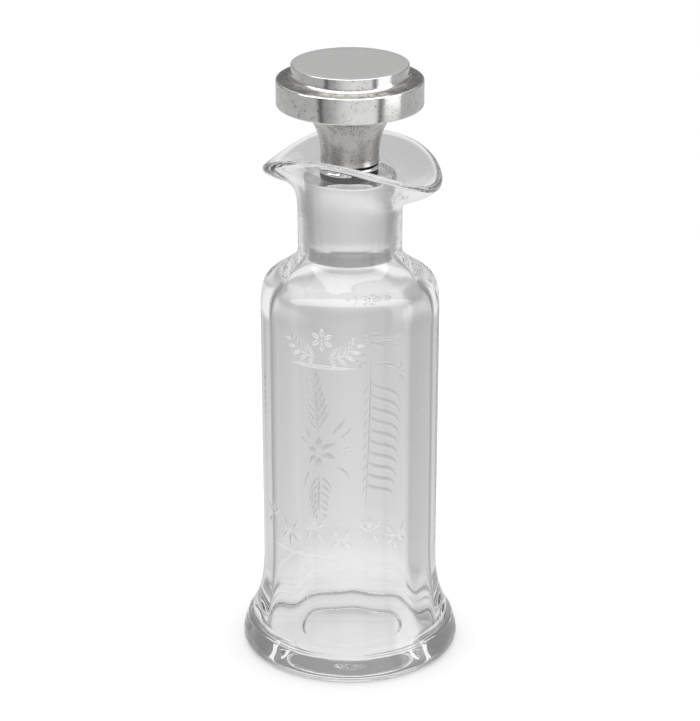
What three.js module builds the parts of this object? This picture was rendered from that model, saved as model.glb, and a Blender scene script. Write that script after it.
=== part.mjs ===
// Glass oil and vinegar cruet with a folded pouring lip and a silver-mounted ground stopper.
// Millimetres, +Z up. The origin is on the table at the centre of the foot, and the spout points to -X.
// Every piece is turned: an outline of radius and height, swept round +Z. The bottle's outline also
// changes with the angle, because its inside is ten-panelled and its lip is folded into a spout.

import * as THREE from 'three';
import { mergeVertices } from 'three/addons/utils/BufferGeometryUtils.js';

// Turning
const FACETS = 48;             // facets round the bottle, the plug and the silver, so that they line up
const INNER_FACETS = 24;       // facets round the small and hidden pieces
const SEAT_GAP = 0.15;         // between the ground seat and the ground plug, on the radius
const GAP = 0.3;               // between pieces that are cemented or pressed together
const TRUMPET_STEPS = 7;       // points along the silver neck, shared by all that follows its curve
const LIP_STEPS = 7;           // points along each side of the lip's wall

// Foot and body, outside
const CONTACT_RADIUS = 35.2;   // outer edge of the flat that stands on the table
const FOOT_BULGE = 2.4;        // how far the foot swells past its flat
const BULGE_HEIGHT = 3.2;      // height of the foot's widest line
const FOOT_HEIGHT = 9.6;       // crisp line where the swelling meets the hollow flare
const BODY_RADIUS = 30.0;
const FOOT_LINE_STEP = 5.9;    // how far the crisp line stands outside the body
const FLARE_HEIGHT = 25.4;     // the flare's hollow curve, above the foot
const BODY_SPREAD = 0.4;       // how much wider the body is at the shoulder than at the flare
const BODY_HEIGHT = 90.0;      // straight wall between the flare and the shoulder
const SHOULDER_TURN = 13.0;    // height of the shoulder's round corner
const SHOULDER_RISE = 8.0;     // height of the hollow curve from the shoulder into the neck
const SHOULDER_LINE = 0.54;    // where those two meet, from the neck at 0 to the body at 1
const PONTIL_RADIUS = 18.2;    // polished hollow where the glass was broken off the iron
const PONTIL_DEPTH = 1.5;
const PONTIL_EDGE = 2.0;       // steep rim of that hollow, and how high it rises
const PONTIL_STEP = 1.0;

// Neck, seat and plug
const PLUG_END_RADIUS = 14.15; // the ground plug's lower end
const PLUG_LENGTH = 29.4;
const TAPER = 0.05;            // radius gained for each millimetre up the seat
const PLUG_EDGE = 0.8;         // rounding of the plug's two ends
const PLUG_OVERHANG = 3.0;     // how far the plug hangs below the seat
const NECK_WALL = 3.2;         // glass round the seat's lower end
const NECK_HEIGHT = 13.2;      // straight neck below the lip
const PEG_RADIUS = 6.5;        // glass peg on top of the plug, cemented into the silver
const PEG_LENGTH = 21.6;

// Inside of the bottle
const PANELS = 10;
const PANEL_WALL = 4.8;        // glass at the middle of each flat panel
const PANEL_TURN = 6.5;        // degrees from +X to a corner between panels
const CORNER_SHARPNESS = 20;   // power of the rounded polygon: higher is sharper
const BASE_GLASS = 4.2;        // solid glass under the cavity
const FLOOR_FILLET = 2.6;
const CAVITY_SPREAD = 4.0;     // how much wider the cavity is at its floor than in the body
const CAVITY_FLARE_TOP = 36.0; // heights between which it widens
const CAVITY_FLARE_FOOT = 9.0;
const CAVITY_SHOULDER = 24.0;  // height in which the panels run together into the round seat

// Folded lip: the centre of its rolled edge, as waves round the neck
const LIP_REACH = 25.15;       // mean radius of the edge
const LIP_PULL = 3.9;          // pulled out to the spout and the lobe, pressed in at the sides
const LIP_BIAS = 1.0;          // the lobe reaches further than the spout
const LIP_SQUARING = -0.3;     // straightens the pressed sides
const LIP_RISE = 17.45;        // mean height of the edge above the straight neck
const LIP_DIP = -4.3;          // spout and lobe hang lower than the sides
const LIP_TILT = -0.9;         // the lobe hangs lower than the spout
const LIP_CREST = -0.9;        // keeps the sides high for longer
const EDGE_RADIUS = 1.5;       // half the thickness of the rolled edge
const SPOUT_BEAD = 0.8;        // extra glass at the spout's tip, on the radius
const SPOUT_DROOP = 1.0;       // how far the tip hangs under the edge's line
const SPOUT_HALF_ANGLE = 20.0; // degrees over which the tip's glass fades out

// How the lip's wall bends on its way from the neck to the edge, as shares of its run and rise:
// the height at which it leaves the neck's line, then the point that it bends towards.
const LIP_BENDS = {
  spout: [0.92, 0.39, 0.69],
  lobe: [0.68, 0.62, 0.53],
  side: [0.38, 0.47, 0.68],
};

// Silver mount
const SHEET = 0.8;             // thickness of the spun silver
const PITCH_HEIGHT = 4.1;      // black pitch between the plug and the silver neck
const PITCH_WALL = 1.9;        // pitch round the peg, inside the foot ring
const PITCH_LEDGE = 1.1;       // pitch under and over the foot ring, past that
const LEDGE_HEIGHT = 1.8;
const RING_RADIUS = 0.7;       // half the thickness of the foot ring's wire
const THROAT_RADIUS = 9.75;    // narrowest part of the trumpet-shaped silver neck
const THROAT_HEIGHT = 1.2;
const NECK_FLARE_HEIGHT = 18.0;
const RIM_RADIUS = 24.55;      // the cap's vertical band
const RIM_HEIGHT = 9.0;
const RIM_EDGE = 0.6;          // rounding of the band's edges
const TABLE_RADIUS = 19.6;     // the flat top
const TABLE_SIDE = 2.4;        // upright wall under the flat top
const COVE_HEIGHT = 2.6;       // hollow curve from that wall out to the band
const TABLE_EDGE = 0.3;

// Heights that follow from the sizes above
const FLARE_TOP = FOOT_HEIGHT + FLARE_HEIGHT;
const BODY_TOP = FLARE_TOP + BODY_HEIGHT;
const SHOULDER_MEET = BODY_TOP + SHOULDER_TURN;
const NECK_BOTTOM = SHOULDER_MEET + SHOULDER_RISE;
const NECK_TOP = NECK_BOTTOM + NECK_HEIGHT;
const PLUG_BOTTOM = NECK_BOTTOM - PLUG_OVERHANG;
const PLUG_TOP = PLUG_BOTTOM + PLUG_LENGTH;
const PEG_TOP = PLUG_TOP + PEG_LENGTH;
const PITCH_TOP = PLUG_TOP + PITCH_HEIGHT;
const MOUNT_BOTTOM = PITCH_TOP + GAP;
const THROAT_TOP = MOUNT_BOTTOM + THROAT_HEIGHT;
const CAP_BOTTOM = THROAT_TOP + NECK_FLARE_HEIGHT;
const RIM_TOP = CAP_BOTTOM + RIM_HEIGHT;
const TABLE_TOP = RIM_TOP + COVE_HEIGHT + TABLE_SIDE;

// Radii that follow from the sizes above
const FOOT_RADIUS = CONTACT_RADIUS + FOOT_BULGE;
const NECK_RADIUS = seatRadius(NECK_BOTTOM) + NECK_WALL;
const RING_CENTRE = PEG_RADIUS + GAP + PITCH_WALL + RING_RADIUS;

function plugRadius(height) {
  return PLUG_END_RADIUS + TAPER * (height - PLUG_BOTTOM);
}

function seatRadius(height) {
  return plugRadius(height) + SEAT_GAP;
}

function point(radius, height) {
  return new THREE.Vector2(radius, height);
}

// A curve from start to end. Each handle is given as shares of the run and the rise between them.
function bend(start, end, leave, arrive) {
  const handle = ([run, rise]) => point(
    THREE.MathUtils.lerp(start.x, end.x, run),
    THREE.MathUtils.lerp(start.y, end.y, rise),
  );
  return new THREE.CubicBezierCurve(start, handle(leave), handle(arrive), end);
}

// Points beside a curve, on the right of its direction, at a distance that may change along it.
function beside(curve, steps, distanceAt) {
  return Array.from({ length: steps + 1 }, (_, step) => {
    const share = step / steps;
    const tangent = curve.getTangent(share);
    const distance = distanceAt(share);
    return curve.getPoint(share).add(point(tangent.y * distance, -tangent.x * distance));
  });
}

// The round end of a wall, from its right side to its left side, without the two end points.
function roundEnd(curve, radius) {
  const tangent = curve.getTangent(1);
  const side = point(tangent.y, -tangent.x);
  return [60, 30, 0, -30, -60].map((degrees) => {
    const turn = THREE.MathUtils.degToRad(degrees);
    return curve.getPoint(1)
      .addScaledVector(tangent, radius * Math.cos(turn))
      .addScaledVector(side, radius * Math.sin(turn));
  });
}

// Radius of the ten-panelled inside at an angle: a regular polygon with rounded corners.
function panelRadius(angle) {
  const flat = BODY_RADIUS - PANEL_WALL;
  const step = (2 * Math.PI) / PANELS;
  const middle = THREE.MathUtils.degToRad(PANEL_TURN) + step / 2;
  let sum = 0;
  for (let panel = 0; panel < PANELS; panel += 1) {
    const facing = Math.max(0, Math.cos(angle - middle - panel * step));
    sum += facing ** CORNER_SHARPNESS;
  }
  return flat / sum ** (1 / CORNER_SHARPNESS);
}

// How much of the spout, the lobe and the pressed sides there is at an angle, together 1.
function lipShares(angle) {
  const along = Math.cos(angle);
  return {
    spout: along < 0 ? along * along : 0,
    lobe: along > 0 ? along * along : 0,
    side: 1 - along * along,
  };
}

function tipShare(angle) {
  const fromSpout = THREE.MathUtils.radToDeg(angle - Math.PI);
  return Math.exp(-((fromSpout / SPOUT_HALF_ANGLE) ** 2));
}

// The middle of the lip's wall at an angle, from the top of the straight neck to the rolled edge.
function lipCurve(angle) {
  const reach = LIP_REACH + LIP_BIAS * Math.cos(angle)
    + LIP_PULL * Math.cos(2 * angle) + LIP_SQUARING * Math.cos(4 * angle);
  const rise = LIP_RISE + LIP_TILT * Math.cos(angle)
    + LIP_DIP * Math.cos(2 * angle) + LIP_CREST * Math.cos(4 * angle);
  const edge = point(reach, NECK_TOP + rise - SPOUT_DROOP * tipShare(angle));
  const start = point((NECK_RADIUS + seatRadius(NECK_TOP)) / 2, NECK_TOP);
  const shares = lipShares(angle);
  const blend = (k) => Object.entries(LIP_BENDS)
    .reduce((sum, [name, bends]) => sum + shares[name] * bends[k], 0);
  return bend(start, edge, [0, blend(0)], [blend(1), blend(2)]);
}

// The lip in section: outside, rolled edge and inside.
function lipSection(angle) {
  const curve = lipCurve(angle);
  const neckHalf = (NECK_RADIUS - seatRadius(NECK_TOP)) / 2;
  const edgeHalf = EDGE_RADIUS + SPOUT_BEAD * tipShare(angle);
  const halfWall = (share) => THREE.MathUtils.lerp(neckHalf, edgeHalf, share * share);
  return [
    ...beside(curve, LIP_STEPS, halfWall),
    ...roundEnd(curve, edgeHalf),
    ...beside(curve, LIP_STEPS, (share) => -halfWall(share)).reverse(),
  ];
}

// Everything outside, from the pontil hollow to the foot of the neck.
function bottleOutside() {
  const contact = point(CONTACT_RADIUS, 0);
  const bulge = point(FOOT_RADIUS, BULGE_HEIGHT);
  const footLine = point(BODY_RADIUS + FOOT_LINE_STEP, FOOT_HEIGHT);
  const bodyFoot = point(BODY_RADIUS, FLARE_TOP);
  const bodyHead = point(BODY_RADIUS + BODY_SPREAD, BODY_TOP);
  const neckFoot = point(NECK_RADIUS, NECK_BOTTOM);
  const meet = point(THREE.MathUtils.lerp(neckFoot.x, bodyHead.x, SHOULDER_LINE), SHOULDER_MEET);
  return [
    point(0, PONTIL_DEPTH),
    point((PONTIL_RADIUS - PONTIL_EDGE) * 0.6, THREE.MathUtils.lerp(PONTIL_DEPTH, PONTIL_STEP, 0.36)),
    point(PONTIL_RADIUS - PONTIL_EDGE, PONTIL_STEP),
    point(PONTIL_RADIUS, 0),
    ...bend(contact, bulge, [0.6, 0], [1, 0.45]).getPoints(3),
    ...bend(bulge, footLine, [0, 0.4], [0.62, 0.7]).getPoints(4).slice(1),
    ...bend(footLine, bodyFoot, [0.6, 0.2], [1, 0.48]).getPoints(6).slice(1),
    ...bend(bodyHead, meet, [0, 0.77], [0.34, 0.81]).getPoints(6),
    ...bend(meet, neckFoot, [0.57, 0.35], [1, 0.575]).getPoints(5).slice(1),
  ];
}

// The seat and the cavity at an angle, from the foot of the neck down to the middle of the floor.
function bottleInside(angle) {
  const seatFoot = point(seatRadius(NECK_BOTTOM), NECK_BOTTOM);
  const wall = panelRadius(angle);
  const wallHead = point(wall, NECK_BOTTOM - CAVITY_SHOULDER);
  const wallFoot = point(wall, CAVITY_FLARE_TOP);
  const spread = wall + CAVITY_SPREAD;
  const corner = point(spread, BASE_GLASS + FLOOR_FILLET);
  const floorEdge = point(spread - FLOOR_FILLET, BASE_GLASS);
  return [
    ...bend(seatFoot, wallHead, [0, 0.396], [1, 0.333]).getPoints(8),
    ...bend(wallFoot, point(spread, CAVITY_FLARE_FOOT), [0, 0.45], [0.6, 0.8]).getPoints(5),
    ...bend(corner, floorEdge, [0, 0.6], [0.4, 1]).getPoints(3),
    point(0, BASE_GLASS),
  ];
}

function bottleOutline(angle) {
  return [...bottleOutside(), ...lipSection(angle), ...bottleInside(angle)];
}

// Solid glass: the ground taper, its flat top, and the peg that the silver is cemented to.
function plugOutline() {
  return [
    point(0, PLUG_BOTTOM),
    point(PLUG_END_RADIUS - PLUG_EDGE, PLUG_BOTTOM),
    point(plugRadius(PLUG_BOTTOM + PLUG_EDGE), PLUG_BOTTOM + PLUG_EDGE),
    point(plugRadius(PLUG_TOP - PLUG_EDGE), PLUG_TOP - PLUG_EDGE),
    point(plugRadius(PLUG_TOP) - PLUG_EDGE, PLUG_TOP),
    point(PEG_RADIUS, PLUG_TOP),
    point(PEG_RADIUS, PEG_TOP),
    point(0, PEG_TOP),
  ];
}

// Black pitch that seals the silver to the glass, with a groove for the foot ring.
function pitchOutline() {
  const inner = PEG_RADIUS + GAP;
  const core = inner + PITCH_WALL - GAP;
  const ledge = core + PITCH_LEDGE;
  const ringTop = PLUG_TOP + LEDGE_HEIGHT + GAP + 2 * RING_RADIUS;
  return [
    point(inner, PLUG_TOP),
    point(ledge, PLUG_TOP),
    point(ledge, PLUG_TOP + LEDGE_HEIGHT),
    point(core, PLUG_TOP + LEDGE_HEIGHT),
    point(core, ringTop + GAP),
    point(ledge, ringTop + GAP),
    point(ledge, PITCH_TOP),
    point(inner, PITCH_TOP),
    point(inner, PLUG_TOP),
  ];
}

function footRingOutline() {
  const centre = point(RING_CENTRE, PLUG_TOP + LEDGE_HEIGHT + GAP + RING_RADIUS);
  return new THREE.Path().absarc(centre.x, centre.y, RING_RADIUS, 0, 2 * Math.PI).getPoints(4);
}

// The trumpet from the throat out to the cap's band, as the line of its outer face.
function trumpetCurve() {
  const throat = point(THROAT_RADIUS, THROAT_TOP);
  const flange = point(RIM_RADIUS - SHEET - GAP, CAP_BOTTOM);
  return bend(throat, flange, [0, 0.556], [0.274, 1]);
}

function mountNeckOutline() {
  const foot = point(THROAT_RADIUS + SHEET / 4, MOUNT_BOTTOM);
  return [
    foot,
    ...beside(trumpetCurve(), TRUMPET_STEPS, () => 0),
    ...beside(trumpetCurve(), TRUMPET_STEPS, () => -SHEET).reverse(),
    point(THROAT_RADIUS - SHEET, MOUNT_BOTTOM),
    foot.clone(),
  ];
}

// One face of the cap, upwards from its band to its flat top, moved inwards by a depth.
function capFace(depth) {
  const cove = bend(
    point(RIM_RADIUS - 2 * RIM_EDGE, RIM_TOP - depth),
    point(TABLE_RADIUS - depth, TABLE_TOP - TABLE_SIDE - depth),
    [0.65, 0],
    [1, 0.3],
  );
  return [
    point(RIM_RADIUS - depth, RIM_TOP - Math.max(RIM_EDGE, depth)),
    ...cove.getPoints(4),
    point(TABLE_RADIUS - depth, TABLE_TOP - Math.max(TABLE_EDGE, depth)),
    point(Math.min(TABLE_RADIUS - TABLE_EDGE, TABLE_RADIUS - depth), TABLE_TOP - depth),
  ];
}

function mountCapOutline() {
  return [
    point(0, TABLE_TOP - SHEET),
    ...capFace(SHEET).reverse(),
    point(RIM_RADIUS - SHEET, CAP_BOTTOM),
    point(RIM_RADIUS - RIM_EDGE, CAP_BOTTOM),
    point(RIM_RADIUS, CAP_BOTTOM + RIM_EDGE),
    ...capFace(0),
    point(0, TABLE_TOP),
  ];
}

// Plaster poured through the silver neck: it fills the cap and holds the glass peg.
function fillingOutline() {
  const inset = SHEET + GAP;
  const bore = PEG_RADIUS + GAP;
  const trumpet = beside(trumpetCurve(), TRUMPET_STEPS, () => -inset);
  const flange = CAP_BOTTOM + inset;
  return [
    point(0, PEG_TOP + GAP),
    point(bore, PEG_TOP + GAP),
    point(bore, MOUNT_BOTTOM),
    point(THROAT_RADIUS - inset, MOUNT_BOTTOM),
    ...trumpet.slice(0, -1),
    point(RIM_RADIUS - inset, flange),
    ...capFace(inset),
    point(0, TABLE_TOP - inset),
  ];
}

// Sweeps an outline round +Z. The outline may differ from angle to angle, but not in its point count.
function turned(outlineAt, facets) {
  const start = outlineAt(0);
  const geometry = new THREE.LatheGeometry(start, facets);
  const position = geometry.attributes.position;
  for (let facet = 0; facet <= facets; facet += 1) {
    const angle = ((facet % facets) * 2 * Math.PI) / facets;
    outlineAt(angle).forEach((at, k) => {
      const index = facet * start.length + k;
      position.setXYZ(index, at.x * Math.cos(angle), at.x * Math.sin(angle), at.y);
    });
  }
  geometry.deleteAttribute('normal');
  geometry.deleteAttribute('uv');
  const closed = mergeVertices(geometry);
  closed.computeVertexNormals();
  return closed;
}

const glass = { color: 0xe6ebea, roughness: 0.03, metalness: 0, transparent: true, opacity: 0.4 };
const groundGlass = { color: 0xd9dcdb, roughness: 0.6, metalness: 0, transparent: true, opacity: 0.8 };
const silver = { color: 0xc8c6c1, roughness: 0.22, metalness: 1 };
const plaster = { color: 0xe4e0d6, roughness: 0.95, metalness: 0 };
const pitch = { color: 0x191817, roughness: 0.5, metalness: 0 };

function piece(name, outlineAt, finish, facets = FACETS) {
  const mesh = new THREE.Mesh(turned(outlineAt, facets), new THREE.MeshStandardMaterial(finish));
  mesh.name = name;
  return mesh;
}

const stopper = new THREE.Group();
stopper.add(
  piece('stopper_plug', plugOutline, groundGlass),
  piece('pitch_seal', pitchOutline, pitch, INNER_FACETS),
  piece('mount_foot_ring', footRingOutline, silver, INNER_FACETS),
  piece('mount_neck', mountNeckOutline, silver),
  piece('mount_cap', mountCapOutline, silver),
  piece('plaster_filling', fillingOutline, plaster, INNER_FACETS),
);

const cruet = new THREE.Group();
cruet.add(piece('bottle', bottleOutline, glass), stopper);

export default cruet;
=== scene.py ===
"""Looks of the engraved glass cruet with its silver-mounted stopper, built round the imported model.

Shapes are worked out in millimetres and scaled to metres when a piece is finished. The spout points
to -X and the engraved front faces -Y.
"""

import functools
import math

import bmesh
import bpy
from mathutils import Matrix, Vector


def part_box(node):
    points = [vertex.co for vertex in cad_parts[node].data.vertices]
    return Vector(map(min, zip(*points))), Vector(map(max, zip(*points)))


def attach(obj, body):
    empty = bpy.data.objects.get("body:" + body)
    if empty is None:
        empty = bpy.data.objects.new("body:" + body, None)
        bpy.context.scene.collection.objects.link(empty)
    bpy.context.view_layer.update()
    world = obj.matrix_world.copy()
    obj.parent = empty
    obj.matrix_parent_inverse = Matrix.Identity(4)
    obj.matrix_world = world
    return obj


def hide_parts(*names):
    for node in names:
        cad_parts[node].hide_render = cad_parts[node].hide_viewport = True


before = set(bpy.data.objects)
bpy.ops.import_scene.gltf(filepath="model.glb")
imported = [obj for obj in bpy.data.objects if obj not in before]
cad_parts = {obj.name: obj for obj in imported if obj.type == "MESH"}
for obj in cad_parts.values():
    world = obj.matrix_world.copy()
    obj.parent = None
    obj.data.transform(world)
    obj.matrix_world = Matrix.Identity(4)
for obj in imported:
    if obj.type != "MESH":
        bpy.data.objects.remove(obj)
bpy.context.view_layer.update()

# Scale and smoothness
MM = 0.001
STEPS_ROUND = 192
SHARP_ANGLE = math.radians(13)
MERGE = 0.0005
SLIVER = 0.0004
HAIR = 0.001


def low_mm(node):
    """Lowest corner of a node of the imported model, in millimetres."""
    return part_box(node)[0] / MM


def high_mm(node):
    """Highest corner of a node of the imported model, in millimetres."""
    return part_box(node)[1] / MM


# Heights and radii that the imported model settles
FOOT_RADIUS = high_mm("bottle").x
PLUG_BOTTOM = low_mm("stopper_plug").z
PLUG_TOP_RADIUS = high_mm("stopper_plug").x
PEG_TOP = high_mm("stopper_plug").z
PLUG_TOP = low_mm("pitch_seal").z
PITCH_TOP = high_mm("pitch_seal").z
PITCH_RADIUS = high_mm("pitch_seal").x
RING_LOW = low_mm("mount_foot_ring").z
RING_HIGH = high_mm("mount_foot_ring").z
RING_OUTER = high_mm("mount_foot_ring").x
MOUNT_BOTTOM = low_mm("mount_neck").z
FLANGE_RADIUS = high_mm("mount_neck").x
CAP_BOTTOM = low_mm("mount_cap").z
CAP_TOP = high_mm("mount_cap").z
RIM_RADIUS = high_mm("mount_cap").x

# Bottle, outside
CONTACT_RADIUS = FOOT_RADIUS - 2.4
BULGE_HEIGHT = 3.2
FOOT_HEIGHT = 9.6
BODY_RADIUS = 30.0
FOOT_LINE_RADIUS = BODY_RADIUS + 5.9
FLARE_TOP = 35.0
BODY_TOP_RADIUS = BODY_RADIUS + 0.4
BODY_TOP = 125.0
SHOULDER_MEET = 138.0
NECK_BOTTOM = 146.0
NECK_TOP = 159.2
SHOULDER_LINE = 0.54
PONTIL_RADIUS = 18.2
PONTIL_STEP = 1.0
PONTIL_DEPTH = 1.5

# Seat, plug and peg
TAPER = 0.05
SEAT_GAP = 0.15
PLUG_END_RADIUS = PLUG_TOP_RADIUS - TAPER * (PLUG_TOP - PLUG_BOTTOM) + 0.04
PLUG_EDGE = 0.8
GROUND_BOTTOM = 148.6
GROUND_STEP = 0.3
PEG_RADIUS = 6.5
NECK_WALL = 3.2

# Bottle, inside
PANELS = 10
PANEL_WALL = 4.8
PANEL_TURN = math.radians(6.5)
CORNER_SHARPNESS = 20
FAINT_PANELS = math.radians(-102)
FAINT_SPREAD = 0.6
FAINT_LOW = 45.0
FAINT_HIGH = 70.0
FAINT_DEPTH = 0.1
FAINTNESS = 0.6
BASE_GLASS = 4.2
FLOOR_FILLET = 2.6
CAVITY_SPREAD = 4.0
CAVITY_FLARE_TOP = 36.0
CAVITY_FLARE_BOTTOM = 9.0
CAVITY_SHOULDER = 24.0

# Engraving: depth of the cuts, how far the cutters stand out of the wall, and the gap beside a stem
CUT_DEPTH = 0.17
CUT_LIP = 0.06
CUT_LID = 0.5
THIN_CUT = 1.25
LONG_CUT = 20
LEAF_GAP = 0.45
WALL_SLACK = 0.2

# Folded lip
LIP_REACH = 25.15
LIP_PULL = 3.9
LIP_BIAS = 1.0
LIP_SQUARING = -0.3
LIP_RISE = 17.45
LIP_DIP = -4.3
LIP_TILT = -0.9
LIP_CREST = -0.9
EDGE_RADIUS = 1.5
SPOUT_BEAD = 0.8
SPOUT_DROOP = 1.0
SPOUT_HALF_ANGLE = math.radians(20)
SPOUT_BENDS = (0.92, 0.39, 0.69)
LOBE_BENDS = (0.68, 0.62, 0.53)
SIDE_BENDS = (0.38, 0.47, 0.68)
LIP_TUBE = 20.0

# Pitch and silver
PITCH_GROOVE = 1.1
SHEET = 0.8
GAP = 0.3
THROAT_RADIUS = 9.75
THROAT_TOP = MOUNT_BOTTOM + 1.2
RIM_TOP = CAP_TOP - 5.0
RIM_EDGE = 0.6
TABLE_RADIUS = 19.6
TABLE_SIDE = 2.4
TABLE_EDGE = 0.3
RUBBED_RING = 0.12
WORN_RING = 1.0


def seat_radius(height):
    """Radius of the ground seat in the neck."""
    return plug_radius(height) + SEAT_GAP


def plug_radius(height):
    """Radius of the ground plug."""
    return PLUG_END_RADIUS + TAPER * (height - PLUG_BOTTOM)


NECK_RADIUS = seat_radius(NECK_BOTTOM) + NECK_WALL
NECK_MIDDLE = (NECK_RADIUS + seat_radius(NECK_TOP)) / 2
NECK_HALF_WALL = (NECK_RADIUS - seat_radius(NECK_TOP)) / 2
CAVITY_FLAT = BODY_RADIUS - PANEL_WALL
CAVITY_FLOOR = CAVITY_FLAT + CAVITY_SPREAD - FLOOR_FILLET


# Curves

def mix(a, b, share):
    """A number that is a share of the way from a to b."""
    return a + (b - a) * share


def bezier(points, share):
    """Point and direction of a cubic curve at a share of its length."""
    a, b, c, d = (Vector(p) for p in points)
    rest = 1 - share
    at = a * rest**3 + b * (3 * rest**2 * share) + c * (3 * rest * share**2) + d * share**3
    way = (b - a) * rest**2 + (c - b) * (2 * rest * share) + (d - c) * share**2
    return at, way.normalized()


def handles(start, end, leave, arrive):
    """Four points of a curve whose handles are shares of the run and the rise from start to end."""
    first = (mix(start[0], end[0], leave[0]), mix(start[1], end[1], leave[1]))
    second = (mix(start[0], end[0], arrive[0]), mix(start[1], end[1], arrive[1]))
    return start, first, second, end


def bend(start, end, leave, arrive, steps):
    """Points along a curve from start to end."""
    curve = handles(start, end, leave, arrive)
    return [tuple(bezier(curve, k / steps)[0]) for k in range(steps + 1)]


def line(start, end, steps):
    """Points along a straight line from start to end."""
    shares = (k / steps for k in range(steps + 1))
    return [(mix(start[0], end[0], share), mix(start[1], end[1], share)) for share in shares]


def arc(centre, radius, first, last, steps):
    """Points on a circle between two angles in degrees."""
    angles = (math.radians(mix(first, last, k / steps)) for k in range(steps + 1))
    return [(centre[0] + radius * math.cos(a), centre[1] + radius * math.sin(a)) for a in angles]


# Turning

def sweep(bm, outline, shape=None):
    """Spins an outline of radius and height round +Z, moves each point by shape, and adds it to bm."""
    part = bmesh.new()
    points = [part.verts.new((radius, 0, height)) for radius, height in outline]
    edges = [part.edges.new(pair) for pair in zip(points, points[1:])]
    bmesh.ops.spin(
        part, geom=points + edges, cent=(0, 0, 0), axis=(0, 0, 1), dvec=(0, 0, 0),
        angle=2 * math.pi, steps=STEPS_ROUND, use_merge=True, use_duplicate=False,
    )
    if shape:
        for vert in part.verts:
            angle = round(math.atan2(vert.co.y, vert.co.x), 6)
            radius, height = shape(math.hypot(vert.co.x, vert.co.y), vert.co.z, angle)
            vert.co = (radius * math.cos(angle), radius * math.sin(angle), height)
    mesh = bpy.data.meshes.new("sweep")
    part.to_mesh(mesh)
    part.free()
    bm.from_mesh(mesh)
    bpy.data.meshes.remove(mesh)


def closed(bm):
    """Merges what touches, drops faces with no area and turns all faces outwards."""
    bmesh.ops.remove_doubles(bm, verts=bm.verts, dist=MERGE)
    bmesh.ops.dissolve_degenerate(bm, edges=bm.edges, dist=SLIVER)
    bmesh.ops.recalc_face_normals(bm, faces=bm.faces)
    for face in bm.faces:
        face.smooth = True
    for edge in bm.edges:
        edge.smooth = edge.calc_face_angle(0) < SHARP_ANGLE


def piece(name, bm, materials, body, slot, *nodes):
    """Turns a bmesh in millimetres into a piece that rides on a body and stands for CAD nodes."""
    bmesh.ops.scale(bm, vec=(MM, MM, MM), verts=bm.verts)
    mesh = bpy.data.meshes.new(name)
    bm.to_mesh(mesh)
    bm.free()
    for material in materials:
        mesh.materials.append(material)
    made = bpy.data.objects.new(name, mesh)
    bpy.context.scene.collection.objects.link(made)
    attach(made, body)
    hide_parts(*nodes)
    return made


def turned(name, outline, materials, body, slot, *nodes):
    """A piece that is round all over. Its outline closes on the axis or on itself."""
    bm = bmesh.new()
    sweep(bm, outline)
    closed(bm)
    return piece(name, bm, materials, body, slot, *nodes)


# Bottle

def tip_share(angle):
    """How much of the spout's tip an angle has: 1 at the tip, and 0 away from it."""
    from_spout = math.pi - abs(angle)
    return math.exp(-((from_spout / SPOUT_HALF_ANGLE) ** 2))


@functools.cache
def lip_curve(angle):
    """Middle of the lip's wall at an angle, from the straight neck to the rolled edge."""
    along = math.cos(angle)
    reach = LIP_REACH + LIP_BIAS * along
    reach += LIP_PULL * math.cos(2 * angle) + LIP_SQUARING * math.cos(4 * angle)
    rise = LIP_RISE + LIP_TILT * along
    rise += LIP_DIP * math.cos(2 * angle) + LIP_CREST * math.cos(4 * angle)
    edge = (reach, NECK_TOP + rise - SPOUT_DROOP * tip_share(angle))
    spout = along * along if along < 0 else 0
    lobe = along * along if along > 0 else 0
    side = 1 - along * along
    up, run, height = (
        spout * s + lobe * b + side * d for s, b, d in zip(SPOUT_BENDS, LOBE_BENDS, SIDE_BENDS)
    )
    return handles((NECK_MIDDLE, NECK_TOP), edge, (0, up), (run, height))


def fold(radius, height, angle):
    """Where a point of the straight tube above the neck goes when the lip is folded."""
    curve = lip_curve(angle)
    share = min(1, (height - NECK_TOP) / LIP_TUBE)
    past = max(0, height - NECK_TOP - LIP_TUBE) / NECK_HALF_WALL
    at, way = bezier(curve, share)
    side = Vector((way.y, -way.x))
    half = mix(NECK_HALF_WALL, EDGE_RADIUS + SPOUT_BEAD * tip_share(angle), share * share)
    at = at + side * (half * (radius - NECK_MIDDLE) / NECK_HALF_WALL) + way * (half * past)
    return at.x, at.y


@functools.cache
def panel_radius(angle):
    """Radius of the ten-panelled inside: a regular polygon with rounded corners."""
    step = 2 * math.pi / PANELS
    middle = PANEL_TURN + step / 2
    total = sum(max(0, math.cos(angle - middle - k * step)) ** CORNER_SHARPNESS for k in range(PANELS))
    return CAVITY_FLAT / total ** (1 / CORNER_SHARPNESS)


def press_panels(radius, height, angle):
    """Where a point of the round cavity goes when its wall is pressed into panels."""
    from_side = math.atan2(math.sin(angle - FAINT_PANELS), math.cos(angle - FAINT_PANELS))
    rise = min(1, max(0, (height - FAINT_LOW) / (FAINT_HIGH - FAINT_LOW)))
    faint = math.exp(-((from_side / FAINT_SPREAD) ** 4)) * rise
    wall = mix(panel_radius(angle), CAVITY_FLAT + FAINT_DEPTH, FAINTNESS * faint)
    if height > NECK_BOTTOM - CAVITY_SHOULDER:
        seat = seat_radius(NECK_BOTTOM)
        return seat + (radius - seat) * (wall - seat) / (CAVITY_FLAT - seat), height
    return radius + (wall - CAVITY_FLAT) * min(1, radius / CAVITY_FLOOR), height


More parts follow.
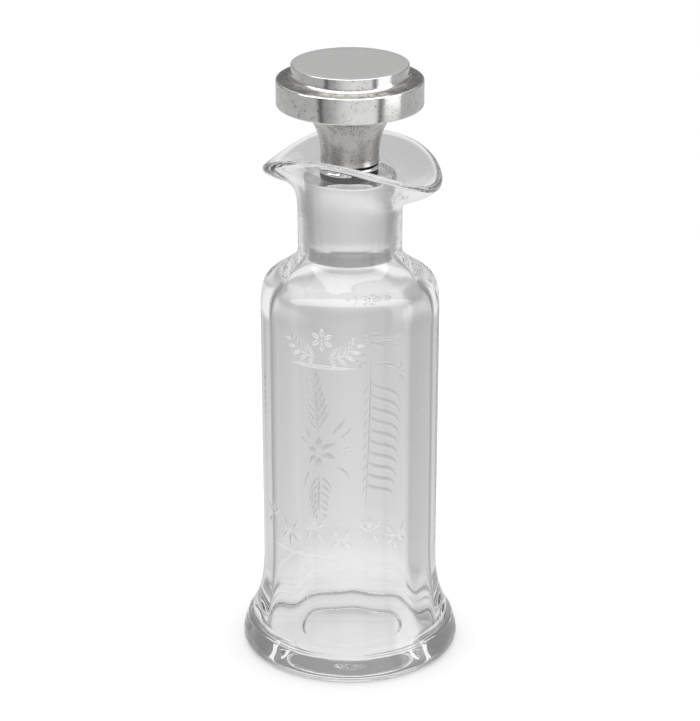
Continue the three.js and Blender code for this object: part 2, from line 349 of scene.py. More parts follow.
def bottle_outside():
    """Outline from the middle of the hollow under the foot up to the straight neck."""
    step = (PONTIL_RADIUS - 2 * PONTIL_STEP, PONTIL_STEP)
    contact = (CONTACT_RADIUS, 0)
    bulge = (FOOT_RADIUS, BULGE_HEIGHT)
    foot_line = (FOOT_LINE_RADIUS, FOOT_HEIGHT)
    body_foot = (BODY_RADIUS, FLARE_TOP)
    body_head = (BODY_TOP_RADIUS, BODY_TOP)
    neck_foot = (NECK_RADIUS, NECK_BOTTOM)
    meet = (mix(NECK_RADIUS, BODY_TOP_RADIUS, SHOULDER_LINE), SHOULDER_MEET)
    return (
        bend((0, PONTIL_DEPTH), step, (0.5, 0), (0.8, 0.7), 12)
        + bend(step, (PONTIL_RADIUS, 0), (0.5, 0.2), (0.7, 1), 6)[1:]
        + line((PONTIL_RADIUS, 0), contact, 8)[1:]
        + bend(contact, bulge, (0.6, 0), (1, 0.45), 6)[1:]
        + bend(bulge, foot_line, (0, 0.4), (0.62, 0.7), 10)[1:]
        + bend(foot_line, body_foot, (0.6, 0.2), (1, 0.48), 18)[1:]
        + line(body_foot, body_head, 24)[1:]
        + bend(body_head, meet, (0, 0.77), (0.34, 0.81), 14)[1:]
        + bend(meet, neck_foot, (0.57, 0.35), (1, 0.575), 12)[1:]
        + line(neck_foot, (NECK_RADIUS, NECK_TOP), 4)[1:]
    )


def lip_tube():
    """The lip before it is folded: a straight tube with a round end."""
    top = NECK_TOP + LIP_TUBE
    return (
        line((NECK_RADIUS, NECK_TOP), (NECK_RADIUS, top), 26)
        + arc((NECK_MIDDLE, top), NECK_HALF_WALL, 0, 180, 18)[1:-1]
        + line((seat_radius(NECK_TOP), top), (seat_radius(NECK_TOP), NECK_TOP), 26)
    )


def bottle_inside():
    """Outline from the foot of the ground seat down to the middle of the floor, before the panels."""
    seat_foot = (seat_radius(NECK_BOTTOM), NECK_BOTTOM)
    wall_head = (CAVITY_FLAT, NECK_BOTTOM - CAVITY_SHOULDER)
    wall_foot = (CAVITY_FLAT, CAVITY_FLARE_TOP)
    flare_foot = (CAVITY_FLOOR + FLOOR_FILLET, CAVITY_FLARE_BOTTOM)
    corner = (CAVITY_FLOOR + FLOOR_FILLET, BASE_GLASS + FLOOR_FILLET)
    floor_edge = (CAVITY_FLOOR, BASE_GLASS)
    return (
        bend(seat_foot, wall_head, (0, 0.396), (1, 0.333), 24)
        + line(wall_head, wall_foot, 20)[1:]
        + bend(wall_foot, flare_foot, (0, 0.45), (0.6, 0.8), 16)[1:]
        + bend(flare_foot, corner, (0, 0.4), (0, 0.7), 4)[1:]
        + bend(corner, floor_edge, (0, 0.6), (0.4, 1), 10)[1:]
        + line(floor_edge, (0, BASE_GLASS), 12)[1:]
    )


def make_bottle(glass, engraved):
    """The one glass of the bottle. Thin and broad cuts are made in turn, so that no two cutters cross."""
    bm = bmesh.new()
    sweep(bm, bottle_outside())
    sweep(bm, lip_tube(), fold)
    sweep(bm, line((seat_radius(NECK_TOP), NECK_TOP), (seat_radius(NECK_BOTTOM), NECK_BOTTOM), 6))
    sweep(bm, bottle_inside(), press_panels)
    closed(bm)
    bottle = piece("bottle_glass", bm, [glass, engraved], "bottle", "clear_glass", "bottle")
    for thin in (True, False):
        engrave(bottle, cutters(thin))
    even_shine(bottle.data)
    return bottle


# Wheel engraving, drawn flat: right and height as the camera sees them, in millimetres

def cut(at, heading, length, width, curl=0.0, sway=0.0):
    """One cut of the wheel: its start, heading in degrees, length, width, curl and S-bend."""
    return at, heading, length, width, curl, sway


def flower(at, petals, inner, outer, width, first=90.0):
    """Petals round a centre, with a round cut in the middle."""
    cuts = [cut((at[0] - inner * 0.5, at[1]), 0, inner, inner)]
    for k in range(petals):
        heading = first + 360 / petals * k
        way = math.radians(heading)
        start = (at[0] + inner * math.cos(way), at[1] + inner * math.sin(way))
        cuts.append(cut(start, heading, outer - inner, width))
    return cuts


def along(start, heading, length, curl, share, sway=0.0):
    """A point part of the way along a cut's middle line, and the heading there."""
    x, y = start
    steps = 12
    for k in range(steps):
        part = share * (k + 0.5) / steps
        way = math.radians(heading + curl * part + sway * math.sin(math.pi * part))
        x += length * share / steps * math.cos(way)
        y += length * share / steps * math.sin(way)
    return (x, y), heading + curl * share + sway * math.sin(math.pi * share)


def frond(start, heading, length, curl, pairs, left, right, stem=0.5):
    """A stem with leaves. Each side is leaf length at the foot and tip, width, spread and leaf curl."""
    cuts = [cut(start, heading, length, stem, curl)]
    for k in range(pairs):
        share = (k + 0.6) / pairs
        at, way = along(start, heading, length, curl, share)
        for side, leaf in ((1, left), (-1, right)):
            size = mix(leaf[0], leaf[1], share)
            spread = way + side * leaf[3]
            off = math.radians(way + side * 90)
            foot = (at[0] + LEAF_GAP * math.cos(off), at[1] + LEAF_GAP * math.sin(off))
            cuts.append(cut(foot, spread, size, leaf[2] * (0.5 + 0.5 * size / leaf[0]), side * leaf[4]))
    return cuts


def front_sprig():
    """Two leafy branches that rise from the middle, and a small flower between them."""
    cuts = flower((0, 123.5), 6, 1.0, 4.2, 2.0)
    for side in (1, -1):
        leaf = (5.2, 3.0, 1.7, 42, 20)
        cuts += frond((side * 1.2, 117.4), 90 - side * 96, 12.5, side * 66, 5, leaf, leaf, 0.6)
    return cuts


def front_garland():
    """A winding stem with three leaves in each bend, and a small pair across from them."""
    cuts = []
    run = 9.6
    for k in range(6):
        side = 1 if k % 2 else -1
        start = (-28.6 + run * k, 52.6)
        cuts.append(cut(start, -side * 38, run * 1.03, 0.6, side * 76))
        middle, way = along(start, -side * 38, run * 1.03, side * 76, 0.5)
        for turn, size, width in ((56, 5.2, 1.6), (0, 6.0, 2.0), (-56, 5.2, 1.6)):
            far = math.radians(-side * 90 + turn)
            foot = (middle[0] + 0.8 * math.cos(far), middle[1] + 0.8 * math.sin(far))
            cuts.append(cut(foot, -side * 90 + turn, size * 0.8, width, -turn * 0.3))
        for turn in (-34, 34):
            foot = (middle[0] + turn * 0.035, middle[1] + side * 1.0)
            cuts.append(cut(foot, side * (90 - turn), 4.0, 1.3, turn * side * 0.6))
    return cuts


def rear_flower_spray():
    """A six-petalled flower with a fern above and below and rays on both sides."""
    cuts = flower((0, 59.6), 6, 1.5, 6.3, 3.5, 30.0)
    cuts += frond((0, 66.9), 92, 22.5, 8, 7, (9.6, 4.2, 1.8, 48, -22), (8.0, 3.4, 1.7, 38, -20))
    cuts += frond((0.2, 52.4), -91, 17.5, 8, 6, (7.2, 2.8, 1.5, 42, -18), (8.8, 3.4, 1.6, 50, -20))
    for side in (1, -1):
        for turn, size in ((12, 5.4), (0, 6.6), (-12, 5.2)):
            cuts.append(cut((side * 6.9, 59.6 + turn * 0.08), 90 - side * (90 - turn), size, 0.8))
        for turn, foot in ((54, (4.8, 66.0)), (36, (6.6, 64.4))):
            cuts.append(cut((side * foot[0], foot[1]), 90 - side * (90 - turn), 7.2, 1.7, side * 14))
        cuts.append(cut((side * 5.4, 53.8), side * (90 - 42) - 90, 6.8, 1.7, -side * 14))
    return cuts


def rear_fern_spray():
    """A hanging fern, full on one side, under loose blossoms and long leaves."""
    stem = ((-1.8, 35.7), 85.5, 61.5, 5)
    cuts = [cut(stem[0], stem[1], stem[2], 0.6, stem[3])]
    for k in range(10):
        share = 0.83 - 0.071 * k
        at, way = along(*stem, share)
        size = mix(12.0, 6.5, max(0, k - 3) / 6)
        cuts.append(cut((at[0] + 0.5, at[1]), -66, size, 2.7, 4, 48))
        cuts.append(cut((at[0] - 0.5, at[1] - 1.2), -128, mix(4.2, 5.4, share), 1.5, 16))
    for at, first in (((-5.2, 94.4), 50), ((0.5, 104.0), 80), ((11.6, 93.0), 20)):
        cuts += flower(at, 5, 1.0, 4.2, 2.4, first)
    for at, heading, size in (((4.6, 105.6), 14, 7.6), ((4.8, 102.4), -8, 8.0), ((6.4, 93.6), 172, 4.8)):
        cuts.append(cut(at, heading, size, 2.3))
    for at, heading in (((-7.8, 98.2), 138), ((-5.6, 99.6), 118), ((-8.8, 96.0), 160)):
        cuts.append(cut(at, heading, 7.4, 1.5, 14))
    return cuts


def cutters(thin):
    """The thin or the broad cuts, as a mesh of small closed boats that stand in the wall.

    Each group has its place round the bottle in degrees, and the way that its right-hand side turns.
    """
    bm = bmesh.new()
    for centre, sign, cuts in (
        (-88.0, 1, front_sprig() + [cut((-11.5, 113.9), 0, 23.5, 1.6)]),
        (-84.5, 1, front_garland()),
        (-102.0, 1, [cut((-15.5, 43.5), 0, 31.0, 1.4)]),
        (133.0, -1, rear_flower_spray()),
        (90.0, -1, rear_fern_spray()),
    ):
        for stroke in cuts:
            if thin == (stroke[2] > LONG_CUT or stroke[3] < THIN_CUT):
                add_cutter(bm, math.radians(centre), sign, *stroke)
    bmesh.ops.recalc_face_normals(bm, faces=bm.faces)
    return bm


def body_radius(height):
    """Radius of the outer wall between the flare and the shoulder."""
    points = [p for p in bottle_outside() if p[1] > FOOT_HEIGHT]
    for low, high in zip(points, points[1:]):
        if low[1] <= height <= high[1]:
            return mix(low[0], high[0], (height - low[1]) / (high[1] - low[1]))
    return BODY_RADIUS


def add_cutter(bm, centre, sign, at, heading, length, width, curl, sway):
    """A boat-shaped cutter along a curled line, wrapped round the body."""
    rings = max(7, round(length * 1.3))
    across = (-1.0, -0.62, -0.25, 0.25, 0.62, 1.0)
    depth = CUT_DEPTH * min(1, 0.45 + width / 4)
    loops = []
    for k in range(rings + 1):
        share = k / rings
        (x, y), way = along(at, heading, length, curl, share, sway)
        swell = max(0.04, math.sin(math.pi * share ** 0.85)) ** 0.7
        side = math.radians(way + 90)
        half = width / 2 * swell
        section = [(s, -depth * swell + (depth * swell + CUT_LIP) * s * s) for s in across]
        section += [(1.0, CUT_LID), (-1.0, CUT_LID)]
        loop = []
        for s, lift in section:
            right = x + half * s * math.cos(side)
            height = y + half * s * math.sin(side)
            radius = body_radius(height)
            angle = centre + sign * right / radius
            out = radius + lift
            loop.append(bm.verts.new((out * math.cos(angle), out * math.sin(angle), height)))
        loops.append(loop)
    for first, second in zip(loops, loops[1:]):
        for k in range(len(first)):
            bm.faces.new((first[k - 1], first[k], second[k], second[k - 1]))
    bm.faces.new(loops[0])
    bm.faces.new(list(reversed(loops[-1])))


def engrave(bottle, bm):
    """Cuts a mesh of cutters out of the bottle. The cut faces take the second material."""
    bmesh.ops.scale(bm, vec=(MM, MM, MM), verts=bm.verts)
    for face in bm.faces:
        face.material_index = 1
    mesh = bpy.data.meshes.new("cutters")
    bm.to_mesh(mesh)
    bm.free()
    for material in bottle.data.materials:
        mesh.materials.append(material)
    tool = bpy.data.objects.new("cutters", mesh)
    bpy.context.scene.collection.objects.link(tool)
    modifier = bottle.modifiers.new("engraving", "BOOLEAN")
    modifier.operation = "DIFFERENCE"
    modifier.solver = "MANIFOLD"
    modifier.object = tool
    graph = bpy.context.evaluated_depsgraph_get()
    carved = bpy.data.meshes.new_from_object(bottle.evaluated_get(graph))
    bottle.modifiers.clear()
    bpy.data.objects.remove(tool)
    bpy.data.meshes.remove(mesh)
    bottle.data = carved


def even_shine(carved):
    """Shades the wall round the cuts as the smooth surface it was before they were cut."""
    bm = bmesh.new()
    bm.from_mesh(carved)
    for edge in bm.edges:
        kinds = {face.material_index for face in edge.link_faces}
        edge.smooth = len(kinds) == 1 and edge.calc_face_angle(0) < SHARP_ANGLE
    for face in bm.faces:
        face.smooth = True
    bm.to_mesh(carved)
    bm.free()
    normals = [tuple(corner.vector) for corner in carved.corner_normals]
    slope = (BODY_TOP_RADIUS - BODY_RADIUS) / (BODY_TOP - FLARE_TOP)
    for face in carved.polygons:
        if face.material_index == 1:
            continue
        for loop in face.loop_indices:
            at = carved.vertices[carved.loops[loop].vertex_index].co
            out = math.hypot(at.x, at.y)
            if out > (BODY_RADIUS - WALL_SLACK) * MM and FLARE_TOP * MM <= at.z <= BODY_TOP * MM:
                normals[loop] = tuple(Vector((at.x / out, at.y / out, -slope)).normalized())
    carved.normals_split_custom_set(normals)


# Stopper

def make_plug(ground, clear):
    """The solid glass stopper: matt where it was ground into the seat, polished elsewhere."""
    end = (PLUG_END_RADIUS, PLUG_BOTTOM)
    head = (plug_radius(PLUG_TOP), PLUG_TOP)
    step = GROUND_BOTTOM - GROUND_STEP
    outline = (
        line((0, PLUG_BOTTOM), (end[0] - PLUG_EDGE, PLUG_BOTTOM), 6)
        + arc((end[0] - PLUG_EDGE, PLUG_BOTTOM + PLUG_EDGE), PLUG_EDGE, -90, 0, 9)[1:]
        + [(plug_radius(step), step)]
        + line((plug_radius(GROUND_BOTTOM), GROUND_BOTTOM), (head[0], PLUG_TOP - PLUG_EDGE), 10)
        + arc((head[0] - PLUG_EDGE, PLUG_TOP - PLUG_EDGE), PLUG_EDGE, 0, 90, 9)[1:]
        + line((head[0] - PLUG_EDGE, PLUG_TOP), (PEG_RADIUS, PLUG_TOP), 4)[1:]
        + line((PEG_RADIUS, PLUG_TOP), (PEG_RADIUS, PEG_TOP), 6)[1:]
        + [(0, PEG_TOP)]
    )
    bm = bmesh.new()
    sweep(bm, outline)
    closed(bm)
    for face in bm.faces:
        height = face.calc_center_median().z
        on_taper = abs(face.normal.z) < 0.5 and GROUND_BOTTOM < height < PLUG_TOP - PLUG_EDGE
        face.material_index = 0 if on_taper else 1
    return piece("plug_glass", bm, [ground, clear], "stopper", "ground_glass", "stopper_plug")


def make_pitch(material):
    """Pitch under, behind and over the foot ring, of which two dark lines show. The lines are black as
    cement is, and they also stand in as painted shade of the gaps above and below the ring.
    """
    inner = PEG_RADIUS + GAP
    core = PITCH_RADIUS - PITCH_GROOVE
    ledge = RING_LOW - GAP
    groove_top = RING_HIGH + GAP
    outline = [
        (inner, PLUG_TOP), (PITCH_RADIUS, PLUG_TOP), (PITCH_RADIUS, ledge), (core, ledge),
        (core, groove_top), (PITCH_RADIUS, groove_top), (PITCH_RADIUS, PITCH_TOP), (inner, PITCH_TOP),
        (inner, PLUG_TOP),
    ]
    return turned("pitch_and_painted_gap_shade_lines", outline, [material], "stopper", "pitch", "pitch_seal")


def make_foot_ring(material):
    half = (RING_HIGH - RING_LOW) / 2
    outline = arc((RING_OUTER - half, RING_LOW + half), half, 0, 360, 32)
    return turned("foot_ring", outline, [material], "stopper", "silver", "mount_foot_ring")


def make_silver_neck(material):
    """The trumpet-shaped neck, spun from one thin sheet."""
    throat = (THROAT_RADIUS, THROAT_TOP)
    flange = (FLANGE_RADIUS, CAP_BOTTOM)
    curve = handles(throat, flange, (0, 0.556), (0.274, 1))
    outer, inner = [], []
    for k in range(37):
        at, way = bezier(curve, k / 36)
        outer.append((at.x, at.y))
        inner.append((at.x - way.y * SHEET, at.y + way.x * SHEET))
    foot = (THROAT_RADIUS + SHEET / 4, MOUNT_BOTTOM)
    outline = [foot, *outer, *reversed(inner), (THROAT_RADIUS - SHEET, MOUNT_BOTTOM), foot]
    return turned("silver_neck", outline, [material], "stopper", "silver", "mount_neck")


def cap_face(depth, steps):
    """One face of the cap, from its band up to its flat top, moved inwards by a depth."""
    edge = max(RIM_EDGE, depth)
    cove = bend(
        (RIM_RADIUS - 2 * RIM_EDGE, RIM_TOP - depth),
        (TABLE_RADIUS - depth, CAP_TOP - TABLE_SIDE - depth),
        (0.65, 0), (1, 0.3), steps,
    )
    rounding = arc((RIM_RADIUS - edge, RIM_TOP - edge), edge - depth, 0, 90, 9) if depth < edge else []
    corner = max(TABLE_EDGE, depth)
    top = [(TABLE_RADIUS - depth, CAP_TOP - depth)]
    if depth < corner:
        top = arc((TABLE_RADIUS - corner, CAP_TOP - corner), corner - depth, 0, 90, 8)
    return rounding + cove + top


def make_cap(polished, satin, worn, tarnished):
    """The spun cap: bright band and edges, satin flat top, and a cove that darkens towards the band."""
    foot = CAP_BOTTOM + RIM_EDGE
    outline = (
        [(0, CAP_TOP - SHEET)]
        + cap_face(SHEET, 8)[::-1]
        + [(RIM_RADIUS - SHEET, RIM_TOP - SHEET), (RIM_RADIUS - SHEET, CAP_BOTTOM)]
        + arc((RIM_RADIUS - RIM_EDGE, foot), RIM_EDGE, -90, 0, 9)
        + cap_face(0, 16)
        + line((TABLE_RADIUS - TABLE_EDGE, CAP_TOP), (0, CAP_TOP), 6)[1:]
    )
    bm = bmesh.new()
    sweep(bm, outline)
    closed(bm)
    for face in bm.faces:
        middle = face.calc_center_median()
        out = math.hypot(middle.x, middle.y)
        if middle.z > CAP_TOP - HAIR:
            face.material_index = 1
        elif out < RIM_RADIUS - RIM_EDGE and RIM_TOP - HAIR < middle.z < CAP_TOP - TABLE_SIDE:
            ring = out - TABLE_RADIUS
            face.material_index = 3 if ring > WORN_RING else 2 if ring > RUBBED_RING else 0
    return piece("silver_cap", bm, [polished, satin, worn, tarnished], "stopper", "silver", "mount_cap")


# Materials

# Finish of the glass
GLASS_IOR = 1.52
GROUND_ROUGHNESS = 0.2
CUT_ROUGHNESS = 0.16
CUT_CLEARNESS = 0.82

# Sizes of the patterns, in millimetres. Real emery grit, wheel marks and scratches are finer than a pixel,
# so they are drawn as coarse as they need to show
MOULD_WAVE = 16.667
EMERY_GRIT = 0.6667
WHEEL_GRIT = 0.4
TARNISH_CLOUD = 3.0303
TARNISH_PIT = 0.7692
WORN_PIT = 0.4545
DENT = 10.526
SCRATCH_LENGTH = 3.333
SCRATCH_WIDTH = 0.3125
PITCH_GRAIN = 1.111
PLASTER_GRAIN = 0.8333

# Parts of a pattern that turn dark or dull
CLOUD_EDGE = (0.44, 0.66)
PATCH_EDGE = (0.4, 0.6)
PIT_EDGE = (0.57, 0.66)
DULL_EDGE = (0.35, 0.7)
SCRATCH_EDGE = (0.62, 0.75)
SCRATCH_DULLNESS = 0.12
MOTTLE_EDGE = (0.35, 0.65)


def linear(code):
    """An sRGB hex colour as linear red, green, blue and alpha."""
    channels = [int(code[k:k + 2], 16) / 255 for k in (0, 2, 4)]
    return [c / 12.92 if c <= 0.04045 else ((c + 0.055) / 1.055) ** 2.4 for c in channels] + [1]


def scale_for(size):
    """Scale of a pattern whose features are a size in millimetres."""
    return 1 / (size * MM)


def add_node(tree, kind, settings=(), *values, **links):
    """Adds a node. Values fill its inputs in order, and a link names one by its words, joined with _."""
    node = tree.nodes.new(kind)
    for key, value in dict(settings).items():
        setattr(node, key, value)
    sockets = [socket for socket in node.inputs if socket.enabled]
    pairs = list(zip(sockets, values))
    for words, value in links.items():
        name = words.replace("_", " ")
        pairs.append((next(socket for socket in sockets if socket.name.lower() == name), value))
    for socket, value in pairs:
        if isinstance(value, bpy.types.NodeSocket):
            tree.links.new(value, socket)
        else:
            socket.default_value = value
    return node


def fade(tree, value, edge, levels=(0.0, 1.0)):
    """Goes smoothly from one level to the other while a value crosses an edge."""
    return add_node(
        tree, "ShaderNodeMapRange", {"interpolation_type": "SMOOTHSTEP"},
        value, edge[0], edge[1], levels[0], levels[1],
    ).outputs["Result"]


def product(tree, first, *others):
    """Numbers or sockets, multiplied."""
    for other in others:
        first = add_node(tree, "ShaderNodeMath", {"operation": "MULTIPLY"}, first, other).outputs[0]
    return first


def apart(tree, first, second):
    """How far apart two numbers or sockets are."""
    gap = add_node(tree, "ShaderNodeMath", {"operation": "SUBTRACT"}, first, second).outputs[0]
    return add_node(tree, "ShaderNodeMath", {"operation": "ABSOLUTE"}, gap).outputs[0]


def larger(tree, first, second):
    """The larger of two numbers or sockets."""
    return add_node(tree, "ShaderNodeMath", {"operation": "MAXIMUM"}, first, second).outputs[0]


def laid_over(tree, share, under, over):
    """A number between two numbers or sockets: under where share is 0, and over where it is 1."""
    return add_node(tree, "ShaderNodeMix", {}, share, under, over).outputs[0]


def stained(tree, share, clean, stain):
    """A colour between two hex colours."""
    node = add_node(
        tree, "ShaderNodeMix", {"data_type": "RGBA"}, factor=share, a=linear(clean), b=linear(stain),
    )
    return next(output for output in node.outputs if output.enabled)


def new_material(name):
    """An empty material, with its node tree and output."""
    material = bpy.data.materials.new(name)
    material.use_nodes = True
    tree = material.node_tree
    tree.nodes.clear()
    return material, tree, tree.nodes.new("ShaderNodeOutputMaterial")


def soda_glass(name, colour, roughness, clearness, grain, detail, strength, depth):
    """Soda-lime glass with a fine relief, whose grain and depth are in millimetres."""
    material, tree, out = new_material(name)
    where = add_node(tree, "ShaderNodeTexCoord").outputs["Object"]
    relief = add_node(tree, "ShaderNodeTexNoise", vector=where, scale=scale_for(grain), detail=detail)
    bump = add_node(
        tree, "ShaderNodeBump", strength=strength, distance=depth * MM, height=relief.outputs["Fac"],
    )
    glass = add_node(
        tree, "ShaderNodeBsdfPrincipled", base_color=linear(colour), roughness=roughness, ior=GLASS_IOR,
        transmission_weight=clearness, normal=bump.outputs["Normal"],
    )
    tree.links.new(glass.outputs[0], out.inputs["Surface"])
    return material


def clear_glass():
    """Blown and fire-polished: clear, with a faint unevenness left by the mould."""
    return soda_glass("blown_soda_glass", "ffffff", 0.0, 1.0, MOULD_WAVE, 1.0, 0.03, 1.0)


def ground_glass():
    """Ground matt with fine emery, which scatters what passes through."""
    return soda_glass("ground_glass_taper", "fcfcfc", GROUND_ROUGHNESS, 1.0, EMERY_GRIT, 2.0, 0.1, 0.2)


def engraved_glass():
    """Cut with copper wheels and left matt, so that the cuts look white."""
    return soda_glass(
        "wheel_engraved_glass", "ffffff", CUT_ROUGHNESS, CUT_CLEARNESS, WHEEL_GRIT, 2.0, 0.25, 0.2,
    )


def silver(name, colour, tarnish, roughness, staining, pitted, pit=TARNISH_PIT):
    """Old hand-rubbed silver: fine clouds of tarnish, dark pits, fine scratches and shallow dents."""
    material, tree, out = new_material(name)
    where = add_node(tree, "ShaderNodeTexCoord").outputs["Object"]
    rubbing = (scale_for(SCRATCH_LENGTH), scale_for(SCRATCH_WIDTH), scale_for(SCRATCH_WIDTH))
    rubbed = add_node(tree, "ShaderNodeMapping", vector=where, scale=rubbing).outputs[0]
    cloud, pits, dent, scratch = (
        add_node(
            tree, "ShaderNodeTexNoise", vector=place, scale=scale, detail=detail, roughness=roughening,
        ).outputs["Fac"]
        for place, scale, detail, roughening in (
            (where, scale_for(TARNISH_CLOUD), 9.0, 0.62),
            (where, scale_for(pit), 5.0, 0.5),
            (where, scale_for(DENT), 1.0, 0.5),
            (rubbed, 1.0, 3.0, 0.5),
        )
    )

    # Tarnish lies in clouds, and pits only where the clouds are thick
    clouding = fade(tree, cloud, CLOUD_EDGE, (0.0, staining))
    pitting = product(tree, fade(tree, pits, PIT_EDGE, (0.0, pitted)), fade(tree, cloud, PATCH_EDGE))
    stain = larger(tree, clouding, pitting)

    # Clouds and scratches dull the shine
    spread = 0.4 * staining * roughness
    dull = fade(tree, cloud, DULL_EDGE, (roughness - spread, roughness + spread))
    scuffed = fade(tree, scratch, SCRATCH_EDGE, (0.0, SCRATCH_DULLNESS))
    dull = add_node(tree, "ShaderNodeMath", {"operation": "ADD"}, dull, scuffed).outputs[0]

    scratched = add_node(tree, "ShaderNodeBump", strength=0.15, distance=0.1 * MM, height=scratch)
    relief = add_node(
        tree, "ShaderNodeBump", strength=0.04, distance=1.0 * MM, height=dent,
        normal=scratched.outputs["Normal"],
    ).outputs["Normal"]
    metal = add_node(
        tree, "ShaderNodeBsdfPrincipled", base_color=stained(tree, stain, colour, tarnish), roughness=dull,
        metallic=1.0, normal=relief,
    )
    tree.links.new(metal.outputs[0], out.inputs["Surface"])
    return material


def cast(name, colour, other, roughness, grain):
    """A cast or poured filler with a mottled colour and a fine grain."""
    material, tree, out = new_material(name)
    where = add_node(tree, "ShaderNodeTexCoord").outputs["Object"]
    mottle = add_node(
        tree, "ShaderNodeTexNoise", vector=where, scale=scale_for(grain), detail=5.0,
    ).outputs["Fac"]
    bump = add_node(tree, "ShaderNodeBump", strength=0.3, distance=0.2 * MM, height=mottle)
    body = add_node(
        tree, "ShaderNodeBsdfPrincipled", roughness=roughness, normal=bump.outputs["Normal"],
        base_color=stained(tree, fade(tree, mottle, MOTTLE_EDGE), colour, other),
    )
    tree.links.new(body.outputs[0], out.inputs["Surface"])
    return material


# Stage

# Camera, fitted to the photo's proportions
CAMERA_AZIMUTH = math.radians(20)
CAMERA_ELEVATION = math.radians(21.9)
CAMERA_DISTANCE = 0.992
CAMERA_TARGET = Vector((0, 0, 0.1047))
CAMERA_LENS = 144.8
LIGHT_BOUNCES = 32

# Paper and room. Levels run from -1, down, to 1, up, and turns are in radians from the front
FLOOR_RADIUS = 0.45
FLOOR_DROP = 0.05 * MM
PAPER_LIFT = 0.25
PAPER = 0.82
PAPER_FADED = 0.56
PAPER_FADE = (-0.52, -0.3)
PAPER_SHINE = (-0.62, -0.74)
HORIZON = 0.31
HORIZON_EDGE = (-0.22, 0.0)
SHADE = (-0.6, 0.4)

# What shows through glass: a backdrop, screens on both sides, and a roof
BACKDROP = 0.95
BACKDROP_FOOT = (-0.3, -0.18)
BACKDROP_HEAD = (0.24, 0.3)
SCREEN = (0.38, 0.22)
SCREEN_FAR_EDGE = (1.3, 0.8)
SCREEN_NEAR_EDGE = (0.0, 0.22)
SCREEN_FOOT = (-0.66, -0.52)
ROOF = 0.42
ROOF_EDGE = (0.5, 0.74)

# What shines on silver and glass: a ceiling, pale sides, a grey card in front, and a lamp on the right
CEILING = 0.95
CEILING_EDGE = (0.36, 0.62)
SIDES = (0.55, 0.36)
SIDES_EDGE = (2.55, 1.75)
CARD_HALF = 0.82
CARD_SOFT = 0.03
CARD = (0.3, 0.85)
CARD_SPAN = (-0.82, 0.1)
BORDER = 0.32
BORDER_EDGE = (0.02, 0.11)
LAMP = (0.66, 2.5)
LAMP_TURN = 1.22
LAMP_SIDE = (0.34, 0.2)
LAMP_RISE = (-0.45, 0.1)
LAMP_HEAD = (0.75, 0.55)

# Soft panel overhead, with its edges as distances for each unit of height
PANEL_GLOW = 3.4
PANEL_SEEN = 1.5
PANEL_SIDE = (2.7, 2.6)
PANEL_FRONT = (0.75, 0.69)
PANEL_BACK = (-0.12, -0.04)
PANEL_FOOT = (0.1, 0.2)
LEAST_HEIGHT = 0.01


def make_camera():
    """A long lens in front, a little to the right and above."""
    cos_up = math.cos(CAMERA_ELEVATION)
    back = Vector((
        math.sin(CAMERA_AZIMUTH) * cos_up, -math.cos(CAMERA_AZIMUTH) * cos_up, math.sin(CAMERA_ELEVATION),
    ))
    data = bpy.data.cameras.new("camera")
    data.lens = CAMERA_LENS
    camera = bpy.data.objects.new("camera", data)
    bpy.context.scene.collection.objects.link(camera)
    camera.location = CAMERA_TARGET + back * CAMERA_DISTANCE
    camera.rotation_euler = (-back).to_track_quat("-Z", "Y").to_euler()
    bpy.context.scene.camera = camera


def make_floor():
    """A white paper table, a hair below the foot. Metal and glass show the studio's own white paper."""
    material, tree, out = new_material("white_paper")
    light = add_node(tree, "ShaderNodeLightPath")
    paper = add_node(tree, "ShaderNodeBsdfDiffuse", color=linear("f4f4f4"))
    lift = product(tree, light.outputs["Is Camera Ray"], PAPER_LIFT)
    glow = add_node(tree, "ShaderNodeEmission", color=linear("ffffff"), strength=lift)
    both = add_node(tree, "ShaderNodeAddShader", {}, paper.outputs[0], glow.outputs[0])
    tree.links.new(both.outputs[0], out.inputs["Surface"])
    bm = bmesh.new()
    bmesh.ops.create_circle(bm, cap_ends=True, segments=96, radius=FLOOR_RADIUS)
    bmesh.ops.translate(bm, vec=(0, 0, -FLOOR_DROP), verts=bm.verts)
    mesh = bpy.data.meshes.new("floor")
    bm.to_mesh(mesh)
    bm.free()
    mesh.materials.append(material)
    floor = bpy.data.objects.new("floor", mesh)
    bpy.context.scene.collection.objects.link(floor)
    floor.visible_glossy = False
    floor.visible_transmission = False


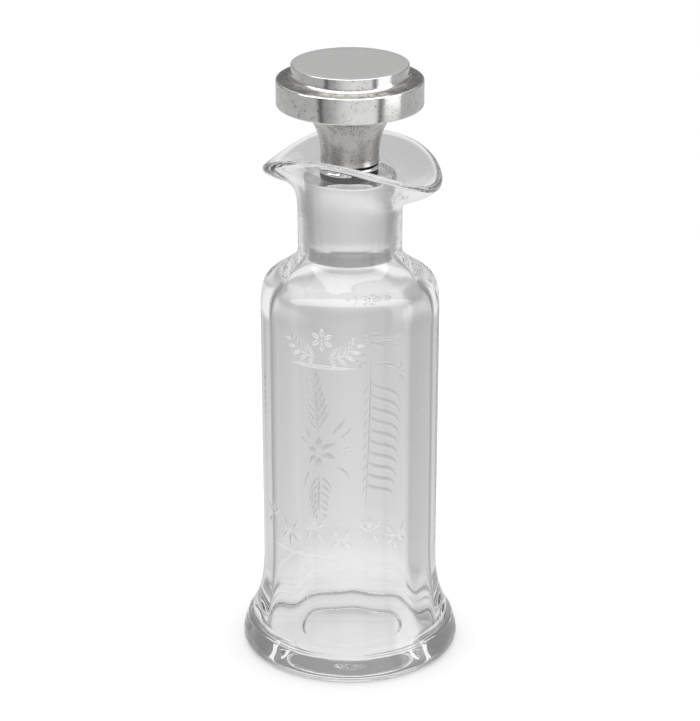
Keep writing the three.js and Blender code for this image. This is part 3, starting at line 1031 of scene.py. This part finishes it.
def make_world():
    """A photographer's studio, fixed round the object: what metal and glass show of it."""
    world = bpy.data.worlds.new("studio")
    bpy.context.scene.world = world
    world.use_nodes = True
    tree = world.node_tree
    tree.nodes.clear()
    out = tree.nodes.new("ShaderNodeOutputWorld")
    where = add_node(tree, "ShaderNodeTexCoord").outputs["Generated"]
    level = add_node(tree, "ShaderNodeSeparateXYZ", vector=where).outputs[2]
    cos, sin = math.cos(CAMERA_AZIMUTH), math.sin(CAMERA_AZIMUTH)
    right, front = (
        add_node(tree, "ShaderNodeVectorMath", {"operation": "DOT_PRODUCT"}, where, way).outputs["Value"]
        for way in ((cos, sin, 0), (sin, -cos, 0))
    )
    turn = add_node(tree, "ShaderNodeMath", {"operation": "ARCTAN2"}, right, front).outputs[0]
    aside = apart(tree, turn, 0.0)
    from_side = apart(tree, aside, math.pi / 2)

    # White paper that fades away from the object, and a darker room above the horizon
    back = fade(tree, level, PAPER_FADE, (PAPER, PAPER_FADED))
    back = laid_over(tree, fade(tree, level, HORIZON_EDGE), back, HORIZON)

    # A wide soft panel overhead
    height = larger(tree, level, LEAST_HEIGHT)
    ahead, across = (
        add_node(tree, "ShaderNodeMath", {"operation": "DIVIDE"}, way, height).outputs[0]
        for way in (front, right)
    )
    panel = product(
        tree, fade(tree, apart(tree, across, 0.0), PANEL_SIDE), fade(tree, level, PANEL_FOOT),
        fade(tree, ahead, PANEL_FRONT), fade(tree, ahead, PANEL_BACK),
    )

    # What shows through glass: a pale backdrop, grey screens on both sides, and the panel overhead
    through = laid_over(tree, fade(tree, level, BACKDROP_FOOT), back, BACKDROP)
    through = laid_over(tree, fade(tree, level, BACKDROP_HEAD), through, HORIZON)
    screen = product(
        tree, fade(tree, from_side, SCREEN_FAR_EDGE), fade(tree, from_side, SCREEN_NEAR_EDGE),
        fade(tree, level, SCREEN_FOOT),
    )
    through = laid_over(tree, screen, through, fade(tree, level, SHADE, SCREEN))
    through = laid_over(tree, fade(tree, level, ROOF_EDGE), through, ROOF)
    through = laid_over(tree, panel, through, PANEL_SEEN)

    # What shines on silver and glass: pale sides, and in front a grey card with dark borders
    tent = laid_over(tree, fade(tree, level, CEILING_EDGE), back, CEILING)
    tent = laid_over(tree, fade(tree, aside, SIDES_EDGE), tent, fade(tree, level, SHADE, SIDES))
    card_edge = (CARD_HALF + CARD_SOFT, CARD_HALF - CARD_SOFT)
    tent = laid_over(tree, fade(tree, aside, card_edge), tent, fade(tree, turn, CARD_SPAN, CARD))
    border = fade(tree, apart(tree, aside, CARD_HALF), BORDER_EDGE, (BORDER, 1.0))

    # A tall soft lamp on the right, brighter above
    lamp = product(
        tree, fade(tree, apart(tree, turn, LAMP_TURN), LAMP_SIDE), fade(tree, level, LAMP_RISE, LAMP),
        fade(tree, level, LAMP_HEAD),
    )
    tent = product(tree, larger(tree, tent, lamp), border)
    tent = laid_over(tree, fade(tree, level, PAPER_SHINE), tent, PAPER)
    tent = laid_over(tree, panel, tent, PANEL_GLOW)

    # What lights the paper and what the camera sees directly are plain white
    light = add_node(tree, "ShaderNodeLightPath")
    shown = laid_over(tree, light.outputs["Is Glossy Ray"], 1.0, tent)
    shown = laid_over(tree, light.outputs["Is Transmission Ray"], shown, through)
    glow = add_node(tree, "ShaderNodeBackground", color=linear("ffffff"), strength=shown)
    tree.links.new(glow.outputs[0], out.inputs["Surface"])


def main():
    """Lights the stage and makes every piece."""
    scene = bpy.context.scene
    scene.view_settings.view_transform = "Standard"
    for kind in ("max", "transmission", "glossy"):
        setattr(scene.cycles, kind + "_bounces", LIGHT_BOUNCES)
    clear = clear_glass()
    make_camera()
    make_floor()
    make_world()
    make_bottle(clear, engraved_glass())
    make_plug(ground_glass(), clear)
    # Near-black pitch: the cement's own colour, and also painted shade in the gaps beside the foot ring
    make_pitch(cast("black_pitch_with_painted_gap_shade", "100f0e", "1d1b19", 0.45, PITCH_GRAIN))

    # Bright where cloths reach, cloudy on the neck, dark deep in the cove, and satin on the flat top
    polished = silver("polished_silver", "e6e6e5", "6e6c69", 0.11, 0.12, 0.7)
    worn = silver("worn_silver", "c4c2bf", "3f3d3a", 0.27, 0.14, 1.0, WORN_PIT)
    tarnished = silver("tarnished_silver", "9b9995", "3b3937", 0.36, 0.5, 1.0)
    satin = silver("satin_silver", "f0f0ef", "b5b3b0", 0.36, 0.06, 0.35)
    make_foot_ring(polished)
    make_silver_neck(worn)
    make_cap(polished, satin, worn, tarnished)
    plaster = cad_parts["plaster_filling"].data.materials
    plaster.clear()
    plaster.append(cast("cast_plaster", "e4e0d6", "d3cec2", 0.9, PLASTER_GRAIN))


main()
